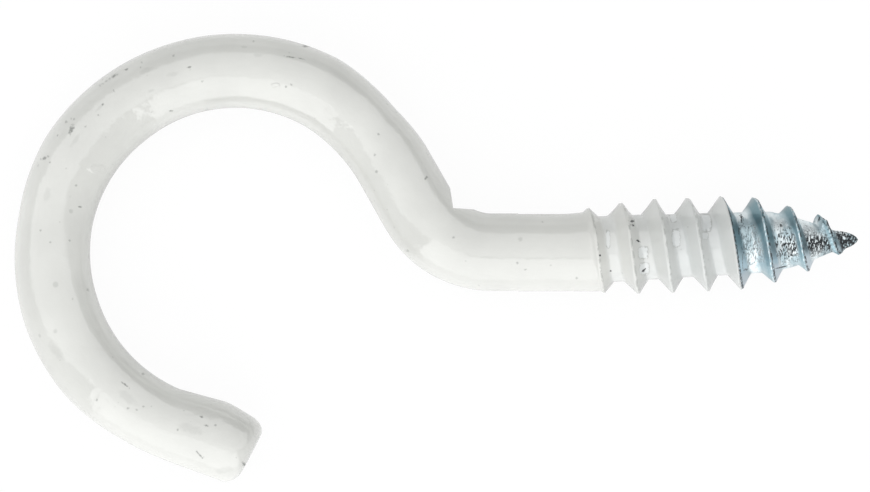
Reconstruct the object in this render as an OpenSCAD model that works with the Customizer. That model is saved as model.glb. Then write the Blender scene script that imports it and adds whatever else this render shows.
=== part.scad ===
// Screw hook: one length of steel wire, threaded and pointed at one end, with the other end
// cranked off the screw's axis and rolled into an open loop that is centred on that axis.
// It lies on its side: the loop is in the XY plane, the shank runs along X and the thread
// starts at the origin and points along +X. All sizes are in millimetres and degrees.

/* [Wire] */
// Diameter of the coated wire where it is straight
wire_d = 4.5; // [3.5:0.1:6]
// Loss of diameter where the wire is drawn round a bend
bend_loss = 0.1; // [0.05:0.01:0.2]
// Rounding of the rim of the cut end
tip_round = 0.8; // [0.3:0.05:1.5]

/* [Loop] */
// Inside diameter of the loop
loop_inner_d = 17.2; // [14:0.1:30]
// Turn of the loop, from the neck round to the tail
loop_turn = 220.5; // [180:0.5:250]
// Straight end of the wire after the loop, with its tip
tail_l = 4.8; // [2:0.1:10]

/* [Crank] */
// Turn of the bend that carries the wire off the screw's axis
crank_turn = 60; // [45:1:65]
// Inside radius of that bend
crank_inner_r = 2.6; // [2.4:0.1:4]
// Depth of the crease that the forming tool pressed into the inside of that bend
crease_h = 0.5; // [0.1:0.05:0.55]
// Angle between the two sides of the crease
crease_angle = 110; // [90:1:110]
// Share of the bend, from the shank, at which the crease stands
crease_share = 0.8; // [0.3:0.05:0.9]

/* [Shank] */
// Plain shank, from the crank to the start of the thread
shank_l = 6.1; // [3:0.1:20]

/* [Thread] */
// Length of the thread, with its point
thread_l = 15.7; // [12:0.1:30]
// Length of the tapered point
point_l = 5; // [3:0.1:7]
// Diameter over the crests
crest_d = 5.6; // [5:0.1:8]
// Diameter at the root
root_d = 3.75; // [2.5:0.05:4]
// Rise of the helix in one turn
pitch = 2; // [1.5:0.05:3]
// Width of the flat on the crest
crest_land = 0.12; // [0.05:0.01:0.3]
// Width of the flat at the root
root_land = 0.55; // [0.3:0.05:0.8]
// Lean of the thread's axis out of line with the shank
thread_lean = 2.9; // [0:0.1:5]

/* [Hidden] */
$fn = 96;

white_coat = "#e6e7e3";
zinc_plate = "#a9bcc4";

wire_r = wire_d / 2;
bent_r = (wire_d - bend_loss) / 2;
root_r = root_d / 2;
loop_r = loop_inner_d / 2 + bent_r;
crank_r = crank_inner_r + bent_r;

// Length of straight neck that puts the centre of the loop back on the screw's axis
neck_l = (loop_r * cos(crank_turn) - crank_r * (1 - cos(crank_turn))) / sin(crank_turn);

// Short taper that carries the full wire into the thinner wire of a bend
ease_l = 0.45;
eased_r = wire_r - bend_loss;

// Cone under the last of the shank, with its small end buried in the core of the thread
shoulder_l = wire_r - root_r + 0.3;

// Place on the axis where the helix starts, buried in the shank
helix_start = -0.86 * pitch;

// Facets in one turn of the thread, and steps from its buried start to its last profile
turn_facets = 36;
thread_steps = round((thread_l / pitch - 0.35) * turn_facets);

// Corners of the thread's profile: share of a pitch, and whether it is on the crest
flank = (pitch - root_land - crest_land) / 2;
profile = [
    [0, false],
    [root_land / pitch, false],
    [(root_land + flank) / pitch, true],
    [(root_land + flank + crest_land) / pitch, true]
];
corners = len(profile);

// How far along the point a place on the axis is: 0 where it starts, 1 at its end
function point_share(x) = max(0, min(1, 1 - (thread_l - x) / point_l));

// Root radius at a place on the axis, with a slightly full point
point_fullness = 1.2;
function core_radius(x) = root_r * (1 - pow(point_share(x), point_fullness));

// Height of the ridge over the root: it grows out of the shank and fades along the point
ridge_h = crest_d / 2 - root_r;
function ridge_share(x) = lookup(x, [
    [helix_start, 0.15],
    [0, 0.6],
    [1.5 * pitch, 1],
    [thread_l - point_l - pitch / 2, 1],
    [thread_l - point_l + pitch, 0.65],
    [thread_l - pitch / 4, 0.3]
]);
function crest_radius(x) = core_radius(x) + ridge_h * ridge_share(x);

// A point of the thread's surface, counted in steps along the helix and corners across it
function helix_point(step, corner) =
    let (
        x = helix_start + pitch * (step / turn_facets + profile[corner][0]),
        r = profile[corner][1] ? crest_radius(x) : core_radius(x),
        turn = 360 * step / turn_facets
    )
    [x, r * cos(turn), r * sin(turn)];

// Place of such a point in the list: the corner after a profile's last one is the first
// corner of the profile one turn further on, and the list ends with those past the last profile
function helix_index(step, corner) =
    corner == corners ? helix_index(step + turn_facets, 0)
    : step <= thread_steps ? step * corners + corner
    : (thread_steps + 1) * corners + step - thread_steps - 1;

// A round bar along X, from its profile of radius against length
module bar() {
    rotate([90, 0, 90]) rotate_extrude() children();
}

// A bend to the left in the XY plane, with what follows it at its far end
module bend_left(radius, turn) {
    translate([0, radius, 0]) {
        rotate(-90) rotate_extrude(angle = turn) translate([radius, 0]) circle(r = bent_r);
        rotate(turn) translate([0, -radius, 0]) children();
    }
}

// The same bend to the right
module bend_right(radius, turn) {
    mirror([0, 1, 0]) bend_left(radius, turn) mirror([0, 1, 0]) children();
}

// Plain shank with a cone at its threaded end, and what follows it
module shank() {
    bar() polygon([
        [0, -shoulder_l],
        [wire_r - shoulder_l, -shoulder_l],
        [wire_r, 0],
        [wire_r, shank_l],
        [eased_r, shank_l + ease_l],
        [0, shank_l + ease_l]
    ]);
    translate([shank_l, 0, 0]) children();
}

// Straight neck between the two bends, and what follows it
module neck() {
    bar() polygon([
        [0, -ease_l],
        [eased_r, -ease_l],
        [wire_r, 0],
        [wire_r, neck_l],
        [eased_r, neck_l + ease_l],
        [0, neck_l + ease_l]
    ]);
    translate([neck_l, 0, 0]) children();
}

// Straight tail with the rim of its cut end rounded over
module tail() {
    rim_l = tail_l - tip_round;
    bar() {
        polygon([
            [0, -ease_l],
            [eased_r, -ease_l],
            [wire_r, 0],
            [wire_r, rim_l],
            [wire_r - tip_round, tail_l],
            [0, tail_l]
        ]);
        translate([wire_r - tip_round, rim_l]) intersection() {
            circle(r = tip_round);
            square(tip_round);
        }
    }
}

// Wedge that presses the crease into the inside of the crank
module crease() {
    reach = (crank_inner_r + crease_h) * cos(crease_angle / 2);
    half = crease_angle / 2;
    translate([-shank_l, crank_r, 0])
        rotate(-90 - crank_turn * crease_share)
        translate([crank_inner_r + crease_h, 0, 0])
        linear_extrude(2 * wire_d, center = true)
        polygon([
            [0, 0],
            [-reach * cos(half), reach * sin(half)],
            [-reach * cos(half), -reach * sin(half)]
        ]);
}

// Shank, crank, neck, loop and tail, from the start of the thread to the cut end
module coated_wire() {
    color(white_coat) difference() {
        rotate(180)
            shank()
            bend_right(crank_r, crank_turn)
            neck()
            bend_left(loop_r, loop_turn)
            tail();
        crease();
    }
}

// Rolled wood thread on its tapered core, as one closed surface: the helical strip, a fan that
// closes it inside the shank and a fan that closes it at the point
module thread() {
    first_loop = concat(
        [for (step = [0:turn_facets]) helix_index(step, 0)],
        [for (corner = [corners - 1:-1:1]) helix_index(0, corner)]
    );
    last_loop = concat(
        [for (step = [thread_steps:thread_steps + turn_facets]) helix_index(step, 0)],
        [for (corner = [corners - 1:-1:1]) helix_index(thread_steps, corner)]
    );
    points = concat(
        [for (step = [0:thread_steps], corner = [0:corners - 1]) helix_point(step, corner)],
        [for (step = [thread_steps + 1:thread_steps + turn_facets]) helix_point(step, 0)],
        [[-pitch / 2, 0, 0], [thread_l, 0, 0]]
    );
    buried_end = len(points) - 2;
    point_end = len(points) - 1;
    faces = concat(
        [for (step = [0:thread_steps - 1], corner = [0:corners - 1]) each [
            [helix_index(step, corner), helix_index(step, corner + 1), helix_index(step + 1, corner)],
            [helix_index(step + 1, corner), helix_index(step, corner + 1), helix_index(step + 1, corner + 1)]
        ]],
        [for (i = [0:len(first_loop) - 1])
            [buried_end, first_loop[i], first_loop[(i + 1) % len(first_loop)]]],
        [for (i = [0:len(last_loop) - 1])
            [point_end, last_loop[(i + 1) % len(last_loop)], last_loop[i]]]
    );
    color(zinc_plate) rotate(thread_lean) polyhedron(points, faces);
}

module screw_hook() {
    coated_wire();
    thread();
}

screw_hook();
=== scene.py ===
"""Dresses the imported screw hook: one wire with a white coat, a bare rolled thread and a pale stage."""

import math

import bmesh
import bpy
import numpy as np
from bpy.props import FloatProperty, FloatVectorProperty, IntProperty, PointerProperty
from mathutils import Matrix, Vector


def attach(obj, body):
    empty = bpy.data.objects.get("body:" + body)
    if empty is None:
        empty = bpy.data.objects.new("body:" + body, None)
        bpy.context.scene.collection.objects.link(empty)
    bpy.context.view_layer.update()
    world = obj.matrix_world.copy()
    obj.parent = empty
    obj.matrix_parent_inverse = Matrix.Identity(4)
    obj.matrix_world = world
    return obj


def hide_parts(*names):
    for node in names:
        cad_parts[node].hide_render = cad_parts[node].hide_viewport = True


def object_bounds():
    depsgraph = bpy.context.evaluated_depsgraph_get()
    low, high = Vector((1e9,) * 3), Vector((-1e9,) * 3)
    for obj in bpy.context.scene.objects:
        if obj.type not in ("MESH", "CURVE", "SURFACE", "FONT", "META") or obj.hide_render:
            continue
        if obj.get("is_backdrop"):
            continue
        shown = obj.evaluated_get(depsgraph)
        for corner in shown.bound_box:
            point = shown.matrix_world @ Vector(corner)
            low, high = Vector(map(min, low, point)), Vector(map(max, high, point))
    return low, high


bl_info = {
    "name": "Screw hook",
    "version": (1, 0, 0),
    "blender": (4, 5, 0),
    "location": "3D View > Sidebar > Screw hook",
    "description": "Builds a coated wire screw hook with a rolled wood thread, and a plain stage for it",
    "category": "Object",
}

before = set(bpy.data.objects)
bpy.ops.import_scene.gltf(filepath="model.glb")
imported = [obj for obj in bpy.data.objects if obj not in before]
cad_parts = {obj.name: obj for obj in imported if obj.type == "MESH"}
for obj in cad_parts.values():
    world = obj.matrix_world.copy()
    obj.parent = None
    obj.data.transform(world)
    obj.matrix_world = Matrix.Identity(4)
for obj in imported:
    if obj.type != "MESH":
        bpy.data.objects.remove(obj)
CAD_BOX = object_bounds()
PHOTO_WIDTH = 870
MM = 0.001

# Wire as drawn and bent: distance back from the start of the thread, diameter and drift towards the
# outside of the crank, in millimetres
WIRE_DRAW = (
    (-2.0, 4.58, 0.0), (4.0, 4.58, 0.03), (8.0, 4.60, 0.02), (11.5, 4.52, -0.10), (14.5, 4.50, -0.08),
    (16.8, 4.30, -0.18), (18.5, 4.35, -0.12), (20.5, 4.45, -0.01), (25.0, 4.38, -0.03), (29.0, 4.40, -0.05),
    (33.0, 4.52, -0.05), (37.0, 4.58, 0.02), (41.0, 4.39, -0.03), (46.5, 4.57, 0.05), (50.5, 4.48, 0.08),
    (54.0, 4.21, 0.0), (55.6, 4.22, 0.03), (57.0, 4.36, 0.0), (58.5, 4.50, -0.05), (61.0, 4.52, -0.03),
)

# Radius of the crests and of the roots along the thread, in millimetres
CREST_RADIUS = (
    (-2.6, 1.98), (-1.2, 2.24), (-0.4, 2.48), (1.4, 2.67), (3.5, 2.82),
    (7.4, 2.78), (9.4, 2.72), (11.4, 2.18), (13.4, 1.46), (14.5, 0.76),
    (14.9, 0.52), (15.05, 0.42), (15.58, 0.0),
)
ROOT_RADIUS = (
    (-2.6, 1.96), (2.3, 1.96), (4.2, 1.90), (7.4, 1.84), (10.4, 1.80),
    (11.6, 1.52), (12.7, 1.17), (14.2, 0.6), (14.7, 0.52), (15.05, 0.42),
    (15.3, 0.3), (15.48, 0.16), (15.58, 0.0),
)

# Marks of a ring that isn't on the thread: turns round the helix, height of the ridge and leading flank
PLAIN = (-9.0, 0.0, 0.0)

# Rings across one pitch of the thread, as shares of the pitch from a crest
PITCH_RINGS = (
    -0.03, -0.01, 0.01, 0.03, 0.05, 0.09, 0.14, 0.19, 0.24, 0.28, 0.31, 0.34,
    0.4, 0.47, 0.54, 0.6, 0.63, 0.67, 0.72, 0.77, 0.82, 0.87, 0.92, 0.95,
)

# Rings of the bent wire, back from the thread: start, end and step, then the step from there to the rim
SHANK_RINGS = (4.6, 6.0, 0.2)
CRANK_RINGS = (6.0, 12.0, 0.09)
LOOP_STEP = 0.26
RIM_MARGIN = 0.9

# Cut end: rings across its flat part, rings over its rim, wear of the rim, and reach of the wear and slant
END_SHARES = (0.0, 0.25, 0.5, 0.75)
RIM_RINGS = 9
RIM_WEAR = 0.17
WEAR_REACH = (2.6, 0.2)
SLANT_REACH = 3.0

# Crease inside the crank: apex, directions of its sides, limits of the press, and the wire it may touch
CREASE_APEX = (-8.41, 2.63)
CREASE_SIDES = (math.radians(-3.5), math.radians(98))
CREASE_DEPTH = 1.2
CREASE_SLOPE = -0.05
CREASE_STRETCH = (6.0, 13.0)

# Ridge: reach in turns and hollow of each flank, crest and the groove along it, and narrowing to the point
TRAILING_FLANK = (0.38, 1.08)
LEADING_FLANK = (0.28, 1.15)
CREST_HALF = 0.025
GROOVE_HALF = 0.015
GROOVE_HEIGHT = 0.97
NARROWING = 0.42
NARROWING_TURNS = (4.0, 6.5)

# Axis of the thread: where its lean is measured from and sets in, and its sink towards the point
LEAN_START = 4.0
LEAN_STRETCH = (-2.0, 0.2)
POINT_SINK = 0.1
SINK_STRETCH = (9.5, 14.5)

# Rings of the shank by the thread, stretches where rings slant and tilt, and the extra slope of the first
# crests, with the stretches where it sets in and fades
SHANK_LINES = (-4.5, -3.1, 0.2)
HELIX_STRETCH = (-4.3, -2.9)
TILT_STRETCH = (-4.3, -0.5)
STEEPER = 0.2
STEEPER_START = (-1.5, 0.0)
STEEPER_END = (1.0, 8.0)

# Angles round the thread from its lower side to the middle of its underside
UNDERSIDE = (math.radians(195), math.radians(269))

# Waves of the crests: height, waves in a turn and drift from turn to turn; and the torn height near the point
CREST_WAVES = ((0.03, 5, 7), (0.02, 11, -3))
TORN_HEIGHT = 0.22
TORN_STRETCH = (12.2, 13.4)

# Flap torn up on the last turn: ends of its rise and its fall, in turns and in angles, its height and dents
BURR_TURNS = (6.76, 6.84, 7.06, 7.12)
BURR_ANGLES = (-0.5, -0.3, 0.85, 1.0)
BURR_HEIGHT = 1.02
BURR_DENTS = 0.14

# How far past its last crest the coat still reaches, in turns
COAT_MARGIN = 0.02

# Distances in metres within which points are joined and slivers removed, and in millimetres for the very tip
JOIN_DISTANCE = 2e-6
SLIVER_DISTANCE = 1e-7
TIP_DISTANCE = 1e-6

# Scuffs in the coat: place along X and Y, half length, half width and turn in degrees
SCUFFS = (
    (-28.4, 10.4, 0.18, 0.1, 40), (-27.65, 10.8, 0.14, 0.06, 15), (-30.85, 7.25, 0.34, 0.13, 70),
    (-31.7, 6.9, 0.12, 0.05, 70), (-32.45, 5.55, 0.14, 0.1, 45), (-29.0, 8.7, 0.12, 0.06, 55),
    (-25.05, 8.35, 0.13, 0.06, 0), (-23.9, 10.9, 0.13, 0.06, 10), (-17.95, 11.5, 0.35, 0.05, -10),
    (-17.35, 11.4, 0.2, 0.05, -15), (-17.15, 12.2, 0.2, 0.07, 0), (-30.35, 2.7, 0.12, 0.06, -10),
    (-27.7, -7.75, 0.3, 0.06, -40), (-23.2, -9.65, 0.12, 0.07, -10), (-22.9, -10.15, 0.12, 0.07, -20),
    (-23.3, -11.9, 0.35, 0.06, -50), (-20.7, -12.5, 0.25, 0.09, -60), (-10.0, 4.4, 0.12, 0.07, 60),
)

# Round specks of dirt: place and radius
SPECKS = (
    (-28.2, 10.5, 0.07), (-28.65, 10.25, 0.08), (-28.85, 10.1, 0.07), (-29.05, 9.95, 0.07),
    (-29.25, 9.85, 0.07), (-28.35, 9.5, 0.08), (-31.2, 7.7, 0.08), (-30.9, 7.9, 0.06),
    (-30.7, 7.85, 0.07), (-30.0, 7.4, 0.07), (-32.7, 5.5, 0.06), (-32.25, 5.65, 0.07),
    (-32.85, 5.15, 0.07), (-32.1, 5.3, 0.06), (-30.55, 3.95, 0.07), (-29.25, 8.1, 0.06),
    (-24.85, 11.6, 0.08), (-26.75, 11.2, 0.07), (-26.8, 10.9, 0.06), (-23.15, 10.05, 0.07),
    (-22.95, 8.45, 0.07), (-20.15, 12.45, 0.07), (-17.9, 9.85, 0.08), (-18.25, 9.75, 0.07),
    (-32.65, 1.3, 0.07), (-32.05, 0.6, 0.08), (-30.95, 0.7, 0.07), (-29.95, -2.2, 0.08),
    (-26.7, -7.15, 0.08), (-29.35, -8.65, 0.08), (-27.5, -9.15, 0.08), (-27.0, -9.25, 0.08),
    (-26.6, -9.05, 0.07), (-24.6, -10.4, 0.07), (-22.4, -10.15, 0.09), (-12.8, 6.95, 0.08),
    (-13.0, 5.75, 0.07), (-12.9, 4.75, 0.09), (-11.1, 0.1, 0.08), (-8.4, 0.9, 0.08),
    (-4.65, -0.6, 0.08), (-4.15, -1.0, 0.07), (-1.15, -1.5, 0.08), (-3.15, 1.8, 0.07),
)

# Chips through the coat down to dark metal, in the form of the scuffs
CHIPS = (
    (2.15, 1.85, 0.14, 0.09, 10), (2.15, 1.6, 0.12, 0.08, -20), (2.45, 0.7, 0.17, 0.06, -25),
    (2.8, -1.05, 0.17, 0.07, 40), (0.2, -0.15, 0.06, 0.06, 0), (0.9, -1.1, 0.07, 0.06, 0),
)

# Soft grey smudges, in the same form
SMUDGES = (
    (-26.45, 10.7, 0.5, 0.2, 15), (-24.85, 10.5, 0.4, 0.18, 10), (-30.6, 6.6, 0.5, 0.16, 55),
    (-26.15, 9.5, 0.25, 0.1, 20), (-20.7, 12.1, 0.2, 0.1, 0), (-19.9, 11.6, 0.3, 0.13, 0),
    (-29.2, 8.5, 0.35, 0.1, 45), (-31.75, -5.75, 0.7, 0.3, -50), (-21.9, -12.8, 0.6, 0.25, 10),
    (-27.5, -8.55, 0.8, 0.3, -35), (-32.25, 3.4, 0.5, 0.25, 80), (-23.9, -10.35, 0.9, 0.3, -15),
)

# Blisters raised in the coat, in the same form
BLISTERS = (
    (-29.4, 4.95, 0.6, 0.25, 5), (-18.85, 9.85, 0.3, 0.15, 0),
)

# Blocks pressed into the coated roots and into the bare roots: place and half size
COAT_FLAKES = (
    (2.75, 0.0, 0.3, 0.35), (2.85, -0.95, 0.3, 0.35), (4.7, 0.85, 0.25, 0.5), (4.6, 2.1, 0.2, 0.3),
    (6.5, 1.75, 0.3, 0.5), (6.4, 1.0, 0.2, 0.2), (0.7, 0.8, 0.12, 0.5),
)
ZINC_FLAKES = (
    (8.55, 1.9, 0.15, 0.3), (8.65, 1.3, 0.15, 0.25), (8.7, 0.6, 0.2, 0.4), (8.8, -0.5, 0.2, 0.5),
    (9.15, 1.0, 0.2, 0.6), (9.2, -0.2, 0.2, 0.45), (10.8, 0.2, 0.2, 0.45), (12.85, 0.2, 0.2, 0.4),
    (13.2, 0.3, 0.2, 0.3),
)

# Torn edges in the bare thread, in the form of the scuffs
ZINC_TEARS = (
    (13.25, 2.0, 0.2, 0.06, 70), (13.7, 1.8, 0.25, 0.06, 90), (13.6, 2.0, 0.15, 0.05, 20),
    (13.4, 2.2, 0.2, 0.05, -25), (13.9, 1.35, 0.3, 0.05, -70), (10.9, 1.6, 0.12, 0.12, 0),
    (11.0, -0.85, 0.5, 0.05, 12), (8.4, 1.3, 0.3, 0.05, 85), (8.6, 2.0, 0.06, 0.3, 0),
)

# Sockets of the node groups, and plain white
VECTOR = "NodeSocketVector"
FLOAT = "NodeSocketFloat"
MARK_SOCKETS = (("Place", VECTOR), ("Ragged", FLOAT), ("Centre", VECTOR), ("Half size", VECTOR))
WHITE = (1.0, 1.0, 1.0, 1.0)

# Specks in cells: bend of their outlines, its scale, their least and greatest radius, and their solid share
SPECK_BEND = 0.12
SPECK_BEND_SCALE = 6.0
SPECK_RADII = (0.07, 0.24)
SPECK_CORE = 0.5

# Mottle and edges of marks. Here and below, a range carries values between its first two numbers to values
# between its last two, or to 0 and 1
CLOUD_DETAIL = 3.0
GRAIN_DETAIL = 2.0
GRAIN_PER_CLOUD = 9.0
RAGGED_SCALE = 8.0
RAGGED_EDGE = (0.3, 0.7, -0.55, 0.55)
SCUFF_EDGE = (0.5, 1.05, 1.0, 0.0)
FLAKE_OUTLINE = (0.05, 0.24, 1.0, 0.0)
FLAKE_INSIDE = (0.85, 1.0, 1.0, 0.0)
FLAKE_RAGGED = 0.5

# White coat: clouds and waves to a millimetre, cells and share of the dirt, dulling, thinning and gloss
COAT_CLOUDS = 0.35
COAT_WAVES = 0.8
COAT_DIRT = ((1.1, 0.08), (2.6, 0.06))
COAT_DULL = 0.94
COAT_DULLING = (0.35, 0.7)
COAT_THINNING = (0.5, 5.5, 0.0, 0.75)
COAT_GLOSS = (0.3, 0.7, 0.05, 0.11)
COAT_IOR = 1.8
SOFT_EDGE = (0.2, 0.8, -0.3, 0.3)

# How far each kind of mark darkens the coat, and how much that dulls it
SCUFF_TONE = 0.8
SPECK_TONE = 0.6
SMUDGE_TONE = 0.13
OUTLINE_TONE = 0.6
TORN_TONE = 0.45
DIRT_TONE = 0.24
STAIN_ROUGHNESS = 0.5

# Coat on the thread: paler roots and flakes, broken outlines of flakes and torn crests
THREAD_START = (0.0, 0.5)
COAT_ROOT = (0.05, 0.3, 1.0, 0.0)
COAT_ROOT_WEAR = (0.4, 0.6, 0.05, 0.28)
FLAKE_PALENESS = 0.5
COAT_OUTLINE_BREAKS = (0.32, 0.5)
COAT_TEAR = (0.8, 0.92)
COAT_TEAR_BREAKS = (0.5, 0.6)

# Relief of the coat: heights of blisters, waves and grain, and strength and depth of the bump
BLISTER_HEIGHT = 3.0
WAVE_HEIGHT = 4.0
GRAIN_HEIGHT = 0.12
COAT_BUMP = (0.7, 0.02 * MM)

# Bare zinc: stretch and scale of its mottle, slope of the thread's axis, and cells and share of its pits
ZINC_DRAWN = (1.9, 0.75, 0.75)
ZINC_CLOUDS = 0.75
AXIS_SLOPE = 0.0445
FINE_PITS = (4.6, 0.6)
COARSE_PITS = (3.2, 0.9)

# Bright roots, a painted highlight: how far they climb behind and ahead of a crest, less towards +Y as
# painted shade
PAINTED_SHADE_LIFT = (0.4, 1.5, 0.0, 0.27)
ROOT_BEHIND = (0.3, 0.65, 1.0, 0.0)
ROOT_AHEAD = (0.06, 0.25, 1.0, 0.0)

# Dark scribble in the roots: middle, width and edge of its crowd, its thickness and its fade; pits and tears
CROWD_SIDE = 0.2
CROWD_WIDTH = (11.4, 13.2, 0.9, 1.35)
CROWD_RAGGED = 0.7
CROWD_EDGE = (0.3, 1.2, 1.0, 0.0)
SCRIBBLE_THICKER = (11.4, 12.8, 0.0, 0.09)
SCRIBBLE_LINE = (0.5, 0.55)
SCRIBBLE_FADE = (9.6, 10.8, 0.55, 1.0)
PIT_CLOUDS = (0.42, 0.52)
ZINC_OUTLINE_BREAKS = (0.4, 0.52)
ZINC_OUTLINE_TONE = 0.75
ZINC_TEAR_TONE = 0.9

# Dark point: slant and place of its edge, and its grain
POINT_SLANT = 0.37
POINT_EDGE = (14.22, 14.4)
POINT_GRAIN = (0.455, 0.515)

# Crests of the bare thread: a torn dark line on the leading side and a painted highlight, a bright line,
# behind it
CREST_TEAR = (0.78, 0.88)
CREST_TEAR_BREAKS = (0.42, 0.5)
CREST_TEAR_TONE = 0.9
CREST_HIGHLIGHT = (0.88, 0.96)
CREST_HIGHLIGHT_BREAKS = (0.44, 0.56)
CREST_HIGHLIGHT_TONE = 0.55

# Colour, gloss and relief of the zinc, with painted light on the flanks towards -Y and painted shade towards
# +Y
PALE_PATCHES = (0.44, 0.56)
FLANK_STREAKS = (0.35, 0.65, 0.0, 0.35)
PAINTED_LIGHT_FLANK = (-1.2, 0.5, 0.85, 0.0)
PAINTED_SHADE_MIDDLE = 0.45
PAINTED_SHADE_LEADING = (0.3, 1.5, 0.65, 0.0)
PAINTED_SHADE_TRAILING = (0.2, 1.6, 0.0, 0.68)
ZINC_ROUGHNESS = (0.0, 1.0, 0.28, 0.6)
ROOT_ROUGHNESS = 0.13
ZINC_METALLIC = (0.0, 1.0, 0.85, 0.3)
ROOT_RELIEF = 0.8
FLANK_RELIEF = 0.15
ZINC_BUMP = (0.6, 0.03 * MM)

# Floor: half its side in metres, white share and tone for the camera, and the glow and sheen that reflections
# see, less where the hook shelters it
FLOOR_HALF = 2.0
FLOOR_WHITE = 0.94
FLOOR_TONE = (0.9, 0.9, 0.9, 1.0)
FLOOR_GLOW = 0.5
FLOOR_SHEEN = 0.56
FLOOR_ROUGHNESS = 0.3
SHELTER_DISTANCE = 8 * MM
SHELTER_SAMPLES = 4
SHELTER = (0.45, 0.95, 0.5, 1.0)

# Lamp panels: place from the middle of the picture and size, in metres
KEY_PLACE = (-0.045, -0.26, 0.4)
KEY_SIZE = (0.38, 0.8)
KEY_AIM = (0.0, 1.0, 0.0)
LOW_PLACE = (0.0, -0.26, 0.09)
LOW_SIZE = (0.4, 0.06)
TOP_DISTANCE = 0.5
TOP_TILT = math.radians(21)
TOP_PLACE = (-0.05, TOP_DISTANCE * math.sin(TOP_TILT), TOP_DISTANCE * math.cos(TOP_TILT))
TOP_SIZE = (2.0, 0.74)

# Surroundings as shares of the fill: towards -Y and +Y, added towards -X and +X, and taken away in the corner
# between +X and +Y
FRONT_BACK = (1.25, 0.55)
LEFT_RIGHT = (1.1, 0.95)
CORNER = (0.7, 0.7, 0.0)
CORNER_RANGE = (0.76, 0.96)
CORNER_SHADE = 0.9

# Nearest distance that the camera sees, in metres
CLIP_START = 0.01


def length_property(name, description, size):
    """A length, given in millimetres."""
    return FloatProperty(name=name, description=description, default=size * MM, unit="LENGTH")


def angle_property(name, description, degrees):
    """An angle, given in degrees."""
    return FloatProperty(name=name, description=description, default=math.radians(degrees), subtype="ANGLE")


def color_property(name, description, color):
    """A colour, as red, green and blue."""
    return FloatVectorProperty(name=name, description=description, default=color, subtype="COLOR")


class HookWire(bpy.types.PropertyGroup):
    """Sizes of the bent wire"""

    loop_inner_d: length_property("Loop inside", "Inside diameter of the loop", 17.2)
    loop_turn: angle_property("Loop turn", "Turn from the neck to the tail", 220.5)
    tail_l: length_property("Tail", "Straight wire after the loop, with its tip", 4.92)
    tip_round: length_property("Tip rounding", "Rounding of the rim of the cut end", 0.95)
    tip_slant: angle_property("Tip slant", "Slant of the cut end", 8)
    crank_turn: angle_property("Crank turn", "Turn of the crank", 60)
    crank_inner_r: length_property("Crank inside", "Inside radius of the crank", 2.6)
    bent_d: length_property("Bent wire", "Diameter that sets the path of the bends", 4.4)
    shank_l: length_property("Shank", "Plain shank up to the thread", 6.1)
    columns: IntProperty(name="Columns", description="Points round the wire", default=96, min=24)


class HookThread(bpy.types.PropertyGroup):
    """Sizes of the rolled thread"""

    length: length_property("Length", "Length of the thread with its point", 15.58)
    pitch: length_property("Pitch", "Rise in one turn", 1.985)
    first_crest: length_property("First crest", "Place of the first crest on the +Y side", -0.35)
    lean: angle_property("Lean", "Lean of the thread's axis from the shank", 2.55)
    coated_turns: IntProperty(name="Coated turns", description="Crests that the coat reaches", default=4)
    coat_step: length_property("Coat step", "Thickness of the coat at its edge", 0.05)


class HookFinish(bpy.types.PropertyGroup):
    """Colours of the finishes"""

    coat: color_property("Coat", "White coat", (0.592, 0.598, 0.572))
    thin_coat: color_property("Thin coat", "Thinner, cooler coat on the thread", (0.522, 0.544, 0.54))
    scuff: color_property("Scuff", "Grey dirt in scuffs and specks", (0.17, 0.18, 0.165))
    primer: color_property("Primer", "Paler layer under a flaked coat", (0.71, 0.74, 0.75))
    zinc: color_property("Zinc", "Blue passivated zinc", (0.27, 0.40, 0.45))
    # Bright zinc: the paler streaks of the flanks, and in the roots a painted highlight
    streak_and_highlight_zinc: color_property("Bright zinc", "Zinc burnished in the roots", (0.46, 0.57, 0.61))
    # Pale zinc: patches within the painted highlight of the roots
    pale_zinc: color_property("Pale zinc", "Palest patches in the roots", (0.77, 0.84, 0.86))
    # Painted light: paler, greyer zinc on the leading flanks towards -Y
    painted_light_zinc: color_property("Grey zinc", "Greyer zinc towards -Y", (0.58, 0.67, 0.73))
    # Painted shade: deeper blue zinc on the flanks towards +Y
    painted_shade_zinc: color_property("Deep zinc", "Deep blue zinc towards +Y", (0.11, 0.2, 0.23))
    # Painted highlight: the bright line behind the crests of the bare thread
    crest_highlight_zinc: color_property("Worn zinc", "Burnished line along the crests", (0.85, 0.9, 0.92))
    pit: color_property("Pit", "Dark pits of the rolled thread", (0.02, 0.024, 0.027))


class HookStage(bpy.types.PropertyGroup):
    """Camera, lamps and surroundings"""

    lens: FloatProperty(name="Lens", description="Focal length", default=180.0, unit="CAMERA")
    photo_scale: FloatProperty(name="Scale", description="Pixels for one millimetre", default=16.884)
    centre: FloatVectorProperty(
        name="Centre", description="Point under the middle of the frame",
        size=2, default=(-9.476 * MM, 0.391 * MM), subtype="TRANSLATION",
    )
    key_power: FloatProperty(name="Key", description="Tall side panel", default=1.38, unit="POWER")
    low_power: FloatProperty(name="Low", description="Low front panel", default=0.05, unit="POWER")
    top_power: FloatProperty(name="Top", description="Overhead panel", default=4.3, unit="POWER")
    fill: FloatProperty(name="Fill", description="Strength of the surroundings", default=0.44)


def smooth_ramp(value, low, high):
    """0 below low, 1 above high and a smooth rise between them."""
    share = np.clip((value - low) / (high - low), 0.0, 1.0)
    return share * share * (3.0 - 2.0 * share)


def table_value(value, table, column=1):
    """Linear reading of a column of one of the tables above."""
    return np.interp(value, [row[0] for row in table], [row[column] for row in table])


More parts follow.
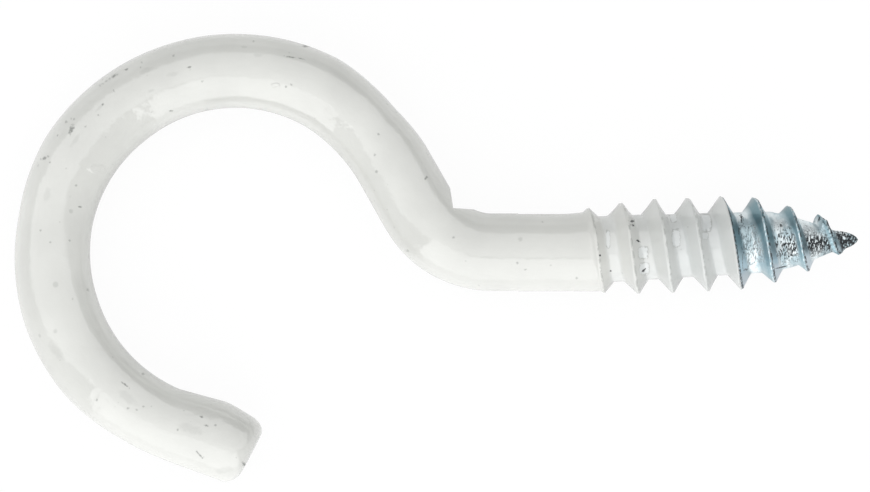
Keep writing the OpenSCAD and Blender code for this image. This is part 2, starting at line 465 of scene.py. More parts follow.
class WirePath:
    """Centreline of the wire in the XY plane, in millimetres, from the thread back to the tip."""

    def __init__(self, wire):
        bent_r = wire.bent_d / MM / 2
        self.crank_r = wire.crank_inner_r / MM + bent_r
        self.loop_r = wire.loop_inner_d / MM / 2 + bent_r
        crank = wire.crank_turn
        rise = self.loop_r * math.cos(crank) - self.crank_r * (1 - math.cos(crank))
        self.shank_l = wire.shank_l / MM
        self.runs = (
            (self.shank_l, 0.0),
            (self.crank_r * crank, -1.0 / self.crank_r),
            (rise / math.sin(crank), 0.0),
            (self.loop_r * wire.loop_turn, 1.0 / self.loop_r),
            (wire.tail_l / MM, 0.0),
        )
        self.length = sum(length for length, _ in self.runs)

    def place(self, distance):
        """Point and heading at a distance back from the thread."""
        point = np.zeros(2)
        heading = math.pi
        left = distance
        for length, curve in self.runs:
            step = left if length >= left else length
            if curve:
                centre = point + np.array((-math.sin(heading), math.cos(heading))) / curve
                heading += step * curve
                point = centre - np.array((-math.sin(heading), math.cos(heading))) / curve
            else:
                point = point + step * np.array((math.cos(heading), math.sin(heading)))
            left -= step
            if left <= 0:
                break
        return point, heading


def wire_stations(path):
    """Distances back from the thread at which the bent wire gets a ring, closest in the crank."""
    stations = list(np.arange(*SHANK_RINGS))
    stations += list(np.arange(*CRANK_RINGS))
    stations += list(np.arange(CRANK_RINGS[1], path.length - RIM_MARGIN, LOOP_STEP))
    return stations


def wire_profile(wire, path):
    """Distance and radius of each ring of the bent wire, from the middle of the cut end to the thread."""
    rim = wire.tip_round / MM
    end = path.length
    flat_r = table_value(end, WIRE_DRAW) / 2 - rim
    profile = [(end, flat_r * share) for share in END_SHARES]
    for turn in np.radians(np.linspace(90, 0, RIM_RINGS)):
        profile.append((end - rim + rim * math.sin(turn), flat_r + rim * math.cos(turn)))
    for distance in reversed(wire_stations(path)):
        profile.append((distance, table_value(distance, WIRE_DRAW) / 2))
    return profile


def press_crease(points, path):
    """Presses the inside of the crank into the two sides of the crease that the bending tool left."""
    first, second = CREASE_SIDES
    normals = (
        np.array((-math.sin(first), math.cos(first))),
        np.array((math.sin(second), -math.cos(second))),
    )
    outward = points[:, :2] - np.array((-path.shank_l, path.crank_r))
    outward /= np.linalg.norm(outward, axis=1)[:, None]
    depth = [(points[:, :2] - np.array(CREASE_APEX)) @ normal for normal in normals]
    slope = [np.minimum(outward @ normal, CREASE_SLOPE) for normal in normals]
    reach = np.minimum(-depth[0] / slope[0], -depth[1] / slope[1])
    inside = (depth[0] > 0) & (depth[1] > 0) & (reach < CREASE_DEPTH)
    points[inside, :2] += reach[inside, None] * outward[inside]
    return points


def bent_wire_rings(wire, path, angles):
    """Rings of the tip, tail, loop, neck, crank and shank, from the middle of the cut end to the thread."""
    end = path.length
    wear_start, wear_end = WEAR_REACH
    rings = []
    for distance, radius in wire_profile(wire, path):
        point, heading = path.place(min(distance, end))
        along = np.array((math.cos(heading), math.sin(heading)))
        across = np.array((math.sin(heading), -math.cos(heading)))
        drift = table_value(distance, WIRE_DRAW, 2)
        worn = RIM_WEAR * smooth_ramp(distance, end - wear_start, end - wear_end)
        worn_r = radius * (1 - worn * np.maximum(-np.cos(angles), 0.0))
        offset = worn_r * np.cos(angles)
        slant = -math.tan(wire.tip_slant) * offset * smooth_ramp(distance, end - SLANT_REACH, end)
        flat = point + np.outer(offset + drift, across) + np.outer(slant, along)
        ring = np.column_stack((flat, worn_r * np.sin(angles)))
        if CREASE_STRETCH[0] < distance < CREASE_STRETCH[1]:
            ring = press_crease(ring, path)
        rings.append(ring)
    return rings


def ridge_share(turned):
    """Height of the ridge after this many turns, 0 at the root and 1 at the crest."""
    share = (turned + 0.5) % 1.0 - 0.5
    reach, hollow = TRAILING_FLANK if share < 0 else LEADING_FLANK
    reach *= 1 - NARROWING * smooth_ramp(turned, *NARROWING_TURNS)
    fall = (abs(share) - CREST_HALF) / reach
    if fall <= 0:
        return GROOVE_HEIGHT if abs(share) < GROOVE_HALF else 1.0
    if fall >= 1:
        return 0.0
    return (1 - fall) ** hollow


def underside_share(angles):
    """0 round the top and sides of the thread, rising to 1 along the middle of its underside."""
    return smooth_ramp(angles, *UNDERSIDE)


def thread_axis(distance, lean):
    """Offset of the thread's axis to +Y: it leans from inside the shank and sinks a little to the point."""
    risen = math.tan(lean) * (distance + LEAN_START) * smooth_ramp(distance, *LEAN_STRETCH)
    return risen - POINT_SINK * smooth_ramp(distance, *SINK_STRETCH)


def thread_lines(thread):
    """Places of the rings along the top, a quarter turn past +Y, and how far round the helix each one is."""
    pitch = thread.pitch / MM
    lines = [(distance, None) for distance in np.arange(*SHANK_LINES)]
    turns = math.ceil(thread.length / MM / pitch) + 1
    for turn in range(-1, turns + 1):
        for share in PITCH_RINGS:
            turned = turn + share
            lines.append((thread.first_crest / MM + pitch * (turned + 0.25), turned))
    return lines


def hump(value, ends):
    """A smooth rise between the first two ends and a smooth fall between the last two."""
    return smooth_ramp(value, ends[0], ends[1]) * (1 - smooth_ramp(value, ends[2], ends[3]))


def burr_share(turned, angles):
    """Height of the flap torn up at the start of the last turn, as a share of the ridge there."""
    dents = BURR_HEIGHT + BURR_DENTS * np.sin(9 * angles + 14 * turned)
    return hump(turned, BURR_TURNS) * hump(angles, BURR_ANGLES) * dents


def torn_share(angles):
    """Uneven height of the torn crests near the point: three waves round the thread, mixed."""
    return np.sin(9 * angles + 1.0) * np.sin(23 * angles) + 0.6 * np.sin(31 * angles + 2.0)


def thread_radius(thread, distance, turned, angles):
    """Radius of one ring of the shank or thread."""
    shank = table_value(-distance, WIRE_DRAW) / 2
    if turned is None or turned < -1:
        return shank
    ridge = ridge_share(turned)
    core = table_value(distance, ROOT_RADIUS)
    height = table_value(distance, CREST_RADIUS) - core
    waves = sum(size * np.sin(count * angles + drift * turned) for size, count, drift in CREST_WAVES)
    ragged = smooth_ramp(distance, *TORN_STRETCH) * ridge ** 2 * TORN_HEIGHT * torn_share(angles)
    screw = core + height * ridge * (1 + ridge * waves + ragged)
    screw = np.maximum(screw, core + height * burr_share(turned, angles))
    if turned < 0:
        straight = shank + thread_axis(distance, thread.lean) * np.maximum(-np.cos(angles), 0.0)
        plain = core + (straight - core) * (1 - underside_share(angles))
        screw = np.maximum(screw, plain)
    if turned <= thread.coated_turns:
        step = thread.coat_step / MM
        screw = screw + step * smooth_ramp(turned, thread.coated_turns - 1, thread.coated_turns)
    return screw


def thread_rings(thread, angles):
    """Rings of the shank and thread, slanted along the helix so that crests follow them, with their marks."""
    pitch = thread.pitch / MM
    length = thread.length / MM
    lowest = CAD_BOX[0][2] / MM
    turn_share = (angles - math.pi / 2) / (2 * math.pi)
    rings = []
    marks = []
    for place, turned in thread_lines(thread):
        slant = smooth_ramp(place, *HELIX_STRETCH)
        distance = np.minimum(place + slant * pitch * turn_share, length)
        radius = thread_radius(thread, distance, turned, angles)
        radius = np.where(distance >= length - TIP_DISTANCE, 0.0, radius)
        across = radius * np.cos(angles)
        tilt = math.tan(thread.lean) * smooth_ramp(distance, *TILT_STRETCH) * across
        steeper = STEEPER * smooth_ramp(distance, *STEEPER_START) * (1 - smooth_ramp(distance, *STEEPER_END))
        along = distance - tilt - steeper * (1 - np.cos(angles)) / 2
        height = np.maximum(radius * np.sin(angles), lowest)
        rings.append(np.column_stack((along, thread_axis(distance, thread.lean) + across, height)))
        threaded = turned is not None and turned > -0.5
        leading = 1.0 if threaded and turned % 1.0 < 0.5 else 0.0
        marks.append((turned, ridge_share(turned), leading) if threaded else PLAIN)
    return rings, marks


def coat_reaches(turned, angle, coated_turns):
    """Whether the coat is here: its edge follows a crest and steps back across the thread underneath."""
    return turned + underside_share(angle) <= coated_turns + COAT_MARGIN


def skin_mesh(name, rings, marks, coated_turns, angles):
    """Joins the rings into one closed skin with its coated and bare faces marked."""
    mesh = bpy.data.meshes.new(name)
    skin = bmesh.new()
    ridge_layer = skin.verts.layers.float.new("ridge")
    leading_layer = skin.verts.layers.float.new("leading")
    grid = []
    for ring, (_, ridge, leading) in zip(rings, marks):
        row = []
        for point in ring:
            corner = skin.verts.new(point * MM)
            corner[ridge_layer] = ridge
            corner[leading_layer] = leading
            row.append(corner)
        grid.append(row)
    for before, after, (turned, _, _) in zip(grid, grid[1:], marks[1:]):
        for column, angle in enumerate(angles[:-1]):
            corners = (before[column], before[column + 1], after[column + 1], after[column])
            face = skin.faces.new(corners)
            face.smooth = True
            face.material_index = 0 if coat_reaches(turned, angle, coated_turns) else 1
    bmesh.ops.remove_doubles(skin, verts=skin.verts, dist=JOIN_DISTANCE)
    bmesh.ops.dissolve_degenerate(skin, edges=skin.edges, dist=SLIVER_DISTANCE)
    bmesh.ops.recalc_face_normals(skin, faces=skin.faces)
    skin.to_mesh(mesh)
    skin.free()
    return mesh


def add_node(tree, kind, inputs=None, **settings):
    """Adds a node, sets it up and links or sets its inputs."""
    made = tree.nodes.new(kind)
    for name, value in settings.items():
        setattr(made, name, value)
    for name, value in (inputs or {}).items():
        if isinstance(value, bpy.types.NodeSocket):
            tree.links.new(value, made.inputs[name])
        else:
            made.inputs[name].default_value = value
    return made


def calculate(tree, operation, first, second=0.0, third=0.0):
    """A Math node's result."""
    return add_node(tree, "ShaderNodeMath", {0: first, 1: second, 2: third}, operation=operation).outputs[0]


def product(tree, first, *others):
    """Values multiplied together."""
    for value in others:
        first = calculate(tree, "MULTIPLY", first, value)
    return first


def greatest(tree, first, *others):
    """The greatest of several values."""
    for value in others:
        first = calculate(tree, "MAXIMUM", first, value)
    return first


def vector_math(tree, operation, first, second=None):
    """A Vector Math node's outputs."""
    inputs = {0: first} if second is None else {0: first, 1: second}
    return add_node(tree, "ShaderNodeVectorMath", inputs, operation=operation).outputs


def noise(tree, place, scale, detail=GRAIN_DETAIL):
    """A noise texture's outputs."""
    inputs = {"Vector": place, "Scale": scale, "Detail": detail}
    return add_node(tree, "ShaderNodeTexNoise", inputs).outputs


def ramp(tree, value, low, high, start=0.0, end=1.0):
    """A value carried from one range to another, with its ends held."""
    inputs = {"Value": value, "From Min": low, "From Max": high, "To Min": start, "To Max": end}
    return add_node(tree, "ShaderNodeMapRange", inputs).outputs[0]


def blend_colors(tree, share, first, second):
    """A colour between two others, each a socket or red, green and blue."""
    inputs = {0: share}
    for index, color in ((6, first), (7, second)):
        inputs[index] = color if isinstance(color, bpy.types.NodeSocket) else (*color, 1.0)
    return add_node(tree, "ShaderNodeMix", inputs, data_type="RGBA").outputs[2]


def new_group(name, inputs, outputs):
    """An empty shader node group with its sockets, and its input and output nodes."""
    group = bpy.data.node_groups.new(name, "ShaderNodeTree")
    for label, kind in inputs:
        group.interface.new_socket(name=label, in_out="INPUT", socket_type=kind)
    for label in outputs:
        group.interface.new_socket(name=label, in_out="OUTPUT", socket_type=FLOAT)
    return group, group.nodes.new("NodeGroupInput").outputs, group.nodes.new("NodeGroupOutput").inputs


def speck_group():
    """Fine specks scattered in cells: only some cells hold one, and each has its own size."""
    sockets = (("Place", VECTOR), ("Cells per mm", FLOAT), ("Amount", FLOAT))
    group, given, result = new_group("Specks", sockets, ("Mask",))
    bend = noise(group, given["Place"], SPECK_BEND_SCALE)["Color"]
    centred = vector_math(group, "SUBTRACT", bend, (0.5, 0.5, 0.5))[0]
    shift = vector_math(group, "MULTIPLY", centred, (SPECK_BEND, SPECK_BEND, SPECK_BEND))[0]
    place = vector_math(group, "ADD", given["Place"], shift)[0]
    inputs = {"Vector": place, "Scale": given["Cells per mm"]}
    cells = add_node(group, "ShaderNodeTexVoronoi", inputs).outputs
    chance = add_node(group, "ShaderNodeSeparateColor", {0: cells["Color"]}).outputs
    held = calculate(group, "LESS_THAN", chance[0], given["Amount"])
    size = ramp(group, chance[1], 0.0, 1.0, *SPECK_RADII)
    spot = ramp(group, cells["Distance"], product(group, size, SPECK_CORE), size, 1.0, 0.0)
    group.links.new(product(group, spot, held), result["Mask"])
    return group


def mottle_group():
    """Soft cloudy variation at two scales."""
    sockets = (("Place", VECTOR), ("Clouds per mm", FLOAT))
    group, given, result = new_group("Mottle", sockets, ("Cloud", "Grain"))
    finer = product(group, given["Clouds per mm"], GRAIN_PER_CLOUD)
    cloud = noise(group, given["Place"], given["Clouds per mm"], CLOUD_DETAIL)[0]
    grain = noise(group, given["Place"], finer)[0]
    group.links.new(cloud, result["Cloud"])
    group.links.new(grain, result["Grain"])
    return group


def upper_side_group():
    """The place as seen from above, and whether it is on the upper side."""
    group, given, result = new_group("Upper side", (("Place", VECTOR),), ("Above",))
    group.interface.new_socket(name="Flat", in_out="OUTPUT", socket_type=VECTOR)
    parts = add_node(group, "ShaderNodeSeparateXYZ", {0: given["Place"]}).outputs
    flat = add_node(group, "ShaderNodeCombineXYZ", {0: parts[0], 1: parts[1]}).outputs[0]
    group.links.new(calculate(group, "GREATER_THAN", parts[2], 0.0), result["Above"])
    group.links.new(flat, result["Flat"])
    return group


def ragged_group():
    """A fine wander for the edges of marks."""
    group, given, result = new_group("Ragged edge", (("Place", VECTOR),), ("Wander",))
    rough = noise(group, given["Place"], RAGGED_SCALE)[0]
    group.links.new(ramp(group, rough, *RAGGED_EDGE), result["Wander"])
    return group


def scuff_group():
    """One scuff of a given size and turn, with the ragged edge that it is given."""
    group, given, result = new_group("Scuff", MARK_SOCKETS + (("Turn", FLOAT),), ("Mask",))
    local = vector_math(group, "SUBTRACT", given["Place"], given["Centre"])[0]
    inputs = {"Vector": local, "Angle": given["Turn"]}
    turned = add_node(group, "ShaderNodeVectorRotate", inputs, rotation_type="Z_AXIS").outputs[0]
    unit = vector_math(group, "DIVIDE", turned, given["Half size"])[0]
    reach = vector_math(group, "LENGTH", unit)["Value"]
    ragged = calculate(group, "ADD", reach, given["Ragged"])
    group.links.new(ramp(group, ragged, *SCUFF_EDGE), result["Mask"])
    return group


def flake_group():
    """Outline and inside of one small block with rounded corners, as the rolling dies leave in the roots."""
    group, given, result = new_group("Flake", MARK_SOCKETS, ("Outline", "Inside"))
    local = vector_math(group, "SUBTRACT", given["Place"], given["Centre"])[0]
    unit = vector_math(group, "DIVIDE", local, given["Half size"])[0]
    square = vector_math(group, "MULTIPLY", unit, unit)[0]
    reach = vector_math(group, "LENGTH", square)["Value"]
    reach = calculate(group, "MULTIPLY_ADD", given["Ragged"], FLAKE_RAGGED, reach)
    edge = calculate(group, "ABSOLUTE", calculate(group, "SUBTRACT", reach, 1.0))
    group.links.new(ramp(group, edge, *FLAKE_OUTLINE), result["Outline"])
    group.links.new(ramp(group, reach, *FLAKE_INSIDE), result["Inside"])
    return group


class Surface:
    """A material in the making, with what both finishes know of a place on the hook."""

    def __init__(self, name, groups):
        self.groups = groups
        self.material = bpy.data.materials.new(name)
        self.material.use_nodes = True
        self.tree = self.material.node_tree
        tree = self.tree
        tree.nodes.clear()
        self.shader = tree.nodes.new("ShaderNodeBsdfPrincipled")
        output = tree.nodes.new("ShaderNodeOutputMaterial")
        tree.links.new(self.shader.outputs[0], output.inputs[0])
        spot = tree.nodes.new("ShaderNodeTexCoord").outputs["Object"]
        self.place = vector_math(tree, "MULTIPLY", spot, (1 / MM, 1 / MM, 1 / MM))[0]
        parts = add_node(tree, "ShaderNodeSeparateXYZ", {0: self.place}).outputs
        self.x = parts[0]
        self.y = parts[1]
        self.ridge = add_node(tree, "ShaderNodeAttribute", attribute_name="ridge").outputs["Fac"]
        self.leading = add_node(tree, "ShaderNodeAttribute", attribute_name="leading").outputs["Fac"]
        self.trailing = calculate(tree, "SUBTRACT", 1.0, self.leading)
        upper = self.group("upper_side", {"Place": self.place})
        self.flat = upper["Flat"]
        self.above = upper["Above"]
        self.ragged = self.group("ragged", {"Place": self.place})["Wander"]

    def group(self, name, inputs):
        """A node group's outputs, placed in the material with its own values."""
        return add_node(self.tree, "ShaderNodeGroup", inputs, node_tree=self.groups[name]).outputs

    def specks(self, cells, amount):
        """Scattered specks with so many cells to a millimetre, in this share of the cells."""
        return self.group("specks", {"Place": self.place, "Cells per mm": cells, "Amount": amount})["Mask"]

    def marks(self, kind, rows, ragged):
        """Each mask of a kind of mark, for all the marks of a list together."""
        masks = None
        for x, y, half_x, half_y, *turn in rows:
            inputs = {"Place": self.flat, "Ragged": ragged}
            inputs["Centre"] = (x, y, 0.0)
            inputs["Half size"] = (half_x, half_y, 1.0)
            if turn:
                inputs["Turn"] = -math.radians(turn[0])
            found = self.group(kind, inputs)
            if masks is None:
                masks = list(found)
            else:
                masks = [greatest(self.tree, mask, added) for mask, added in zip(masks, found)]
        return masks

    def close(self, color, roughness, height, bump):
        """Links the colour, the roughness and the relief to the shader."""
        strength, depth = bump
        inputs = {"Strength": strength, "Distance": depth, "Height": height}
        normal = add_node(self.tree, "ShaderNodeBump", inputs).outputs[0]
        self.tree.links.new(color, self.shader.inputs["Base Color"])
        self.tree.links.new(roughness, self.shader.inputs["Roughness"])
        self.tree.links.new(normal, self.shader.inputs["Normal"])


def coat_stains(made, grain, soft, outlines):
    """How far torn crests, placed marks and scattered dirt darken the coat."""
    tree = made.tree
    specks = [(x, y, radius, radius) for x, y, radius in SPECKS]
    placed = (
        (made.marks("scuff", SCUFFS, made.ragged)[0], SCUFF_TONE),
        (made.marks("scuff", specks, made.ragged)[0], SPECK_TONE),
        (made.marks("scuff", SMUDGES, soft)[0], SMUDGE_TONE),
        (product(tree, outlines, ramp(tree, grain, *COAT_OUTLINE_BREAKS)), OUTLINE_TONE),
    )
    crest = ramp(tree, made.ridge, *COAT_TEAR)
    dark = product(tree, crest, ramp(tree, grain, *COAT_TEAR_BREAKS), made.leading, TORN_TONE)
    for mark, tone in placed:
        dark = greatest(tree, dark, product(tree, mark, made.above, tone))
    for cells, amount in COAT_DIRT:
        dark = greatest(tree, dark, product(tree, made.specks(cells, amount), DIRT_TONE))
    return dark


def white_coat_material(finish, groups):
    """Glossy white coat with faint clouds, fine specks, and the scuffs of storage and fitting."""
    made = Surface("white_coat", groups)
    tree = made.tree
    clouds = made.group("mottle", {"Place": made.place, "Clouds per mm": COAT_CLOUDS})
    waves = made.group("mottle", {"Place": made.place, "Clouds per mm": COAT_WAVES})["Cloud"]
    cloud = clouds["Cloud"]
    grain = clouds["Grain"]
    soft = ramp(tree, grain, *SOFT_EDGE)
    outlines, insides = made.marks("flake", COAT_FLAKES, made.ragged)
    dark = coat_stains(made, grain, soft, outlines)
    chipped = product(tree, made.marks("scuff", CHIPS, made.ragged)[0], made.above)

    # Colour: thinner along the thread, paler in its roots, then the stains and chips
    dull = [COAT_DULL * value for value in finish.coat]
    color = blend_colors(tree, ramp(tree, cloud, *COAT_DULLING), finish.coat, dull)
    color = blend_colors(tree, ramp(tree, made.x, *COAT_THINNING), color, finish.thin_coat)
    rooted = product(tree, ramp(tree, made.x, *THREAD_START), ramp(tree, made.ridge, *COAT_ROOT))
    rooted = product(tree, rooted, ramp(tree, cloud, *COAT_ROOT_WEAR))
    bare = greatest(tree, rooted, product(tree, insides, made.above, FLAKE_PALENESS))
    color = blend_colors(tree, bare, color, finish.primer)
    color = blend_colors(tree, dark, color, finish.scuff)
    color = blend_colors(tree, chipped, color, finish.pit)

    # Gloss and relief
    roughness = calculate(tree, "MULTIPLY_ADD", dark, STAIN_ROUGHNESS, ramp(tree, cloud, *COAT_GLOSS))
    blister = made.marks("scuff", BLISTERS, soft)[0]
    height = calculate(tree, "MULTIPLY_ADD", blister, BLISTER_HEIGHT, product(tree, waves, WAVE_HEIGHT))
    height = calculate(tree, "MULTIPLY_ADD", grain, GRAIN_HEIGHT, height)
    made.close(color, roughness, height, COAT_BUMP)
    made.shader.inputs["IOR"].default_value = COAT_IOR
    return made.material


def zinc_roots(made, side):
    """Where the zinc is painted bright as a highlight: the roots, climbing further behind a crest than ahead
    of it, and less far towards +Y as painted shade.
    """
    tree = made.tree
    lifted = calculate(tree, "ADD", made.ridge, ramp(tree, side, *PAINTED_SHADE_LIFT))
    behind = product(tree, ramp(tree, lifted, *ROOT_BEHIND), made.trailing)
    ahead = product(tree, ramp(tree, made.ridge, *ROOT_AHEAD), made.leading)
    return calculate(tree, "ADD", behind, ahead)


def zinc_pitting(made, side, root, cloud, grain):
    """Dark pits and tears: a crowd of pits along the top of the roots, and a grainy point."""
    tree = made.tree
    beside = calculate(tree, "ABSOLUTE", calculate(tree, "ADD", side, CROWD_SIDE))
    beside = product(tree, beside, ramp(tree, made.x, *CROWD_WIDTH))
    beside = calculate(tree, "MULTIPLY_ADD", made.ragged, CROWD_RAGGED, beside)
    thicker = calculate(tree, "ADD", grain, ramp(tree, made.x, *SCRIBBLE_THICKER))
    scribble = product(tree, ramp(tree, thicker, *SCRIBBLE_LINE), ramp(tree, beside, *CROWD_EDGE))
    scribble = product(tree, scribble, ramp(tree, made.x, *SCRIBBLE_FADE))
    scattered = product(tree, made.specks(*FINE_PITS), ramp(tree, cloud, *PIT_CLOUDS))
    crowd = product(tree, greatest(tree, scribble, scattered), root)

    outlines = made.marks("flake", ZINC_FLAKES, made.ragged)[0]
    outlines = product(tree, outlines, ramp(tree, grain, *ZINC_OUTLINE_BREAKS), made.above, ZINC_OUTLINE_TONE)
    tears = product(tree, made.marks("scuff", ZINC_TEARS, made.ragged)[0], made.above, ZINC_TEAR_TONE)

    past = calculate(tree, "MULTIPLY_ADD", side, POINT_SLANT, made.x)
    grainy = greatest(tree, made.specks(*COARSE_PITS), ramp(tree, grain, *POINT_GRAIN))
    point = product(tree, grainy, ramp(tree, past, *POINT_EDGE))
    return greatest(tree, crowd, outlines, tears, point)


def zinc_flanks(made, finish, side, grain):
    """Colour of the flanks: streaky blue zinc, greyer towards -Y as painted light and deeper towards +Y as
    painted shade.
    """
    tree = made.tree
    streaks = ramp(tree, grain, *FLANK_STREAKS)
    color = blend_colors(tree, streaks, finish.zinc, finish.streak_and_highlight_zinc)
    # Painted light: the leading flanks greyer towards -Y
    low = product(tree, ramp(tree, side, *PAINTED_LIGHT_FLANK), made.leading)
    color = blend_colors(tree, low, color, finish.painted_light_zinc)
    # Painted shade: the leading flanks deeper a little to +Y of the middle, the trailing flanks deeper
    # towards +Y
    off_shade_middle = calculate(tree, "ABSOLUTE", calculate(tree, "SUBTRACT", side, PAINTED_SHADE_MIDDLE))
    shaded_leading = product(tree, ramp(tree, off_shade_middle, *PAINTED_SHADE_LEADING), made.leading)
    high = product(tree, ramp(tree, side, *PAINTED_SHADE_TRAILING), made.trailing)
    return blend_colors(tree, greatest(tree, shaded_leading, high), color, finish.painted_shade_zinc)


def bare_zinc_material(finish, groups):
    """Blue passivated zinc: smooth flanks with painted light and shade, scribbled roots painted bright as a
    highlight, and a dark, pitted point.
    """
    made = Surface("bare_zinc", groups)
    tree = made.tree
    drawn = vector_math(tree, "MULTIPLY", made.place, ZINC_DRAWN)[0]
    clouds = made.group("mottle", {"Place": drawn, "Clouds per mm": ZINC_CLOUDS})
    cloud = clouds["Cloud"]
    grain = clouds["Grain"]
    middle = product(tree, calculate(tree, "ADD", made.x, LEAN_START), AXIS_SLOPE)
    side = calculate(tree, "SUBTRACT", made.y, middle)
    # Roots painted bright as a highlight; the same mask holds their pits, gloss and relief
    root = zinc_roots(made, side)
    rough = zinc_pitting(made, side, root, cloud, grain)

    # Crests: a torn dark line on the leading side and a painted highlight, a bright line, behind it
    torn = product(tree, ramp(tree, made.ridge, *CREST_TEAR), ramp(tree, grain, *CREST_TEAR_BREAKS))
    dark = greatest(tree, rough, product(tree, torn, made.leading, CREST_TEAR_TONE))
    # Painted highlight along the trailing side of the crests
    worn = product(tree, ramp(tree, made.ridge, *CREST_HIGHLIGHT), ramp(tree, grain, *CREST_HIGHLIGHT_BREAKS))
    painted_highlight = product(tree, worn, made.trailing, CREST_HIGHLIGHT_TONE)

    # Painted highlight: the roots take paler zinc, in patches
    patch = ramp(tree, cloud, *PALE_PATCHES)
    pale = blend_colors(tree, patch, finish.streak_and_highlight_zinc, finish.pale_zinc)
    color = blend_colors(tree, root, zinc_flanks(made, finish, side, grain), pale)
    color = blend_colors(tree, painted_highlight, color, finish.crest_highlight_zinc)
    color = blend_colors(tree, dark, color, finish.pit)
    roughness = calculate(tree, "MULTIPLY_ADD", root, ROOT_ROUGHNESS, ramp(tree, dark, *ZINC_ROUGHNESS))
    height = product(tree, grain, calculate(tree, "MULTIPLY_ADD", root, ROOT_RELIEF, FLANK_RELIEF))
    height = calculate(tree, "SUBTRACT", height, rough)
    made.close(color, roughness, height, ZINC_BUMP)
    tree.links.new(ramp(tree, dark, *ZINC_METALLIC), made.shader.inputs["Metallic"])
    return made.material


def floor_material():
    """White satin sweep: nearly plain white to the camera, with a share of real shading for the shadow."""
    material = bpy.data.materials.new("white_sweep")
    material.use_nodes = True
    tree = material.node_tree
    tree.nodes.clear()
    output = tree.nodes.new("ShaderNodeOutputMaterial")
    paths = tree.nodes.new("ShaderNodeLightPath").outputs
    white = add_node(tree, "ShaderNodeEmission", {"Color": WHITE, "Strength": 1.0}).outputs[0]
    shaded = add_node(tree, "ShaderNodeBsdfDiffuse", {"Color": FLOOR_TONE}).outputs[0]
    share = product(tree, paths["Is Camera Ray"], FLOOR_WHITE)
    seen = add_node(tree, "ShaderNodeMixShader", {0: share, 1: shaded, 2: white}).outputs[0]
    inputs = {"Distance": SHELTER_DISTANCE}
    shelter = add_node(tree, "ShaderNodeAmbientOcclusion", inputs, samples=SHELTER_SAMPLES).outputs["AO"]
    openness = ramp(tree, shelter, *SHELTER)
    inputs = {"Color": WHITE, "Strength": product(tree, openness, FLOOR_GLOW)}
    glow = add_node(tree, "ShaderNodeEmission", inputs).outputs[0]
    inputs = {"Color": product(tree, openness, FLOOR_SHEEN), "Roughness": FLOOR_ROUGHNESS}
    satin = add_node(tree, "ShaderNodeBsdfGlossy", inputs).outputs[0]
    mirrored = add_node(tree, "ShaderNodeAddShader", {0: glow, 1: satin}).outputs[0]
    inputs = {0: paths["Is Glossy Ray"], 1: seen, 2: mirrored}
    whole = add_node(tree, "ShaderNodeMixShader", inputs).outputs[0]
    tree.links.new(whole, output.inputs[0])
    return material


def pale_world(fill):
    """Pale surroundings: brighter towards -Y and the sides, darker in the corner between +X and +Y."""
    world = bpy.data.worlds.new("pale_surroundings")
    world.use_nodes = True
    tree = world.node_tree
    background = tree.nodes["Background"]
    background.inputs["Color"].default_value = WHITE
    heading = tree.nodes.new("ShaderNodeTexCoord").outputs["Generated"]
    towards = add_node(tree, "ShaderNodeSeparateXYZ", {0: heading}).outputs
    front, back = (share * fill for share in FRONT_BACK)
    left, right = (share * fill for share in LEFT_RIGHT)
    strength = ramp(tree, towards[1], -1.0, 1.0, front, back)
    sideways = product(tree, towards[0], towards[0])
    beside = ramp(tree, towards[0], -1.0, 1.0, left, right)
    strength = calculate(tree, "MULTIPLY_ADD", sideways, beside, strength)
    corner = vector_math(tree, "DOT_PRODUCT", heading, CORNER)["Value"]
    shade = ramp(tree, corner, *CORNER_RANGE, 0.0, CORNER_SHADE * fill)
    strength = calculate(tree, "SUBTRACT", strength, shade)
    tree.links.new(strength, background.inputs["Strength"])
    return world


def add_panel(name, power, size, place, target):
    """A soft lamp panel that faces a point, hidden from the camera."""
    lamp = bpy.data.lights.new(name, "AREA")
    lamp.shape = "RECTANGLE"
    lamp.size, lamp.size_y = size
    lamp.energy = power
    panel = bpy.data.objects.new(name, lamp)
    panel.location = place
    aim = panel.location - target
    panel.rotation_euler = aim.to_track_quat("Z", "Y").to_euler()
    panel.visible_camera = False
    bpy.context.scene.collection.objects.link(panel)
    return panel


def add_camera(stage, middle):
    """A camera straight above the middle of the picture, as far off as the picture's scale asks."""
    camera_data = bpy.data.cameras.new("photo_camera")
    camera_data.lens = stage.lens
    camera_data.clip_start = CLIP_START
    camera = bpy.data.objects.new("photo_camera", camera_data)
    field = PHOTO_WIDTH / stage.photo_scale * MM
    distance = field * stage.lens / camera_data.sensor_width
    camera.location = middle + Vector((0.0, 0.0, distance))
    bpy.context.scene.collection.objects.link(camera)
    return camera


class OBJECT_OT_screw_hook(bpy.types.Operator):
    """Builds the coated wire with its rolled thread, in place of the plain solid"""

    bl_idname = "object.screw_hook"
    bl_label = "Build screw hook"

    def execute(self, context):
        scene = context.scene
        wire = scene.hook_wire
        thread = scene.hook_thread
        path = WirePath(wire)
        angles = np.linspace(-math.pi / 2, 1.5 * math.pi, wire.columns + 1)
        rings = bent_wire_rings(wire, path, angles)
        marks = [PLAIN] * len(rings)
        screw, screw_marks = thread_rings(thread, angles)
        mesh = skin_mesh("screw_hook_skin", rings + screw, marks + screw_marks, thread.coated_turns, angles)
        if not mesh.polygons:
            raise RuntimeError("The skin of the hook has no faces")
        groups = {
            "specks": speck_group(),
            "mottle": mottle_group(),
            "upper_side": upper_side_group(),
            "ragged": ragged_group(),
            "scuff": scuff_group(),
            "flake": flake_group(),
        }
        mesh.materials.append(white_coat_material(scene.hook_finish, groups))
        mesh.materials.append(bare_zinc_material(scene.hook_finish, groups))
        hook = bpy.data.objects.new("screw_hook_skin", mesh)
        scene.collection.objects.link(hook)
        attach(hook, "root")
        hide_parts("screw_hook")
        return {"FINISHED"}


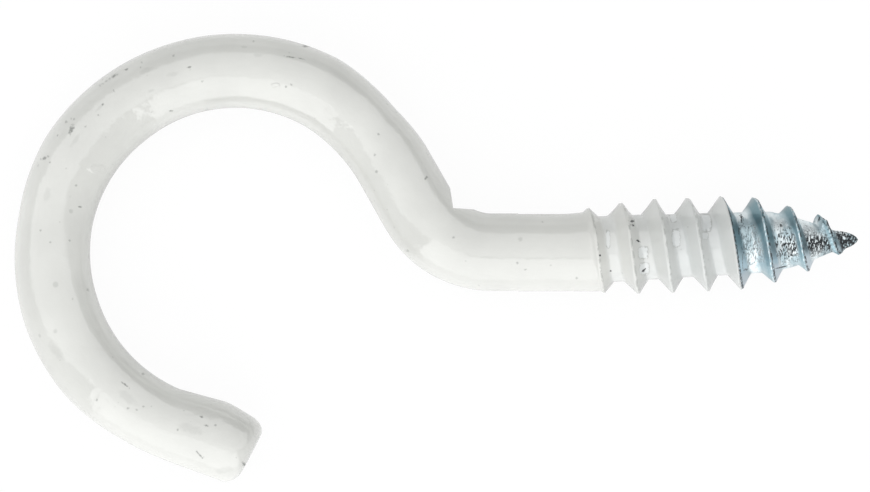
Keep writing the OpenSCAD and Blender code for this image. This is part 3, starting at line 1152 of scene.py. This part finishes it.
class SCENE_OT_hook_stage(bpy.types.Operator):
    """Adds the floor, the lamp panels, the surroundings and the camera"""

    bl_idname = "scene.hook_stage"
    bl_label = "Set hook stage"

    def execute(self, context):
        scene = context.scene
        stage = scene.hook_stage
        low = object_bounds()[0][2]
        half = FLOOR_HALF
        corners = [(-half, -half, low), (half, -half, low), (half, half, low), (-half, half, low)]
        floor_mesh = bpy.data.meshes.new("white_sweep")
        floor_mesh.from_pydata(corners, [], [(0, 1, 2, 3)])
        floor_mesh.materials.append(floor_material())
        floor = bpy.data.objects.new("white_sweep", floor_mesh)
        scene.collection.objects.link(floor)
        floor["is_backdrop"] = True

        middle = Vector((stage.centre[0], stage.centre[1], 0.0))
        key_place = middle + Vector(KEY_PLACE)
        add_panel("key_panel", stage.key_power, KEY_SIZE, key_place, key_place + Vector(KEY_AIM))
        low_panel = add_panel("low_panel", stage.low_power, LOW_SIZE, middle + Vector(LOW_PLACE), middle)
        low_panel.visible_glossy = False
        add_panel("top_panel", stage.top_power, TOP_SIZE, middle + Vector(TOP_PLACE), middle)
        scene.world = pale_world(stage.fill)
        scene.camera = add_camera(stage, middle)
        scene.view_settings.view_transform = "Standard"
        return {"FINISHED"}


class VIEW3D_PT_screw_hook(bpy.types.Panel):
    """Lists the sizes, finishes and steps of the screw hook"""

    bl_idname = "VIEW3D_PT_screw_hook"
    bl_label = "Screw hook"
    bl_space_type = "VIEW_3D"
    bl_region_type = "UI"
    bl_category = "Screw hook"

    def draw(self, context):
        scene = context.scene
        for group in (scene.hook_wire, scene.hook_thread, scene.hook_finish, scene.hook_stage):
            box = self.layout.box()
            for name in group.__annotations__:
                box.prop(group, name)
        self.layout.operator("object.screw_hook")
        self.layout.operator("scene.hook_stage")


CLASSES = (
    HookWire,
    HookThread,
    HookFinish,
    HookStage,
    OBJECT_OT_screw_hook,
    SCENE_OT_hook_stage,
    VIEW3D_PT_screw_hook,
)


def register():
    for entry in CLASSES:
        bpy.utils.register_class(entry)
    bpy.types.Scene.hook_wire = PointerProperty(type=HookWire)
    bpy.types.Scene.hook_thread = PointerProperty(type=HookThread)
    bpy.types.Scene.hook_finish = PointerProperty(type=HookFinish)
    bpy.types.Scene.hook_stage = PointerProperty(type=HookStage)


def unregister():
    for name in ("hook_wire", "hook_thread", "hook_finish", "hook_stage"):
        delattr(bpy.types.Scene, name)
    for entry in reversed(CLASSES):
        bpy.utils.unregister_class(entry)


def main():
    register()
    bpy.ops.object.screw_hook()
    bpy.ops.scene.hook_stage()


if __name__ == "__main__":
    main()
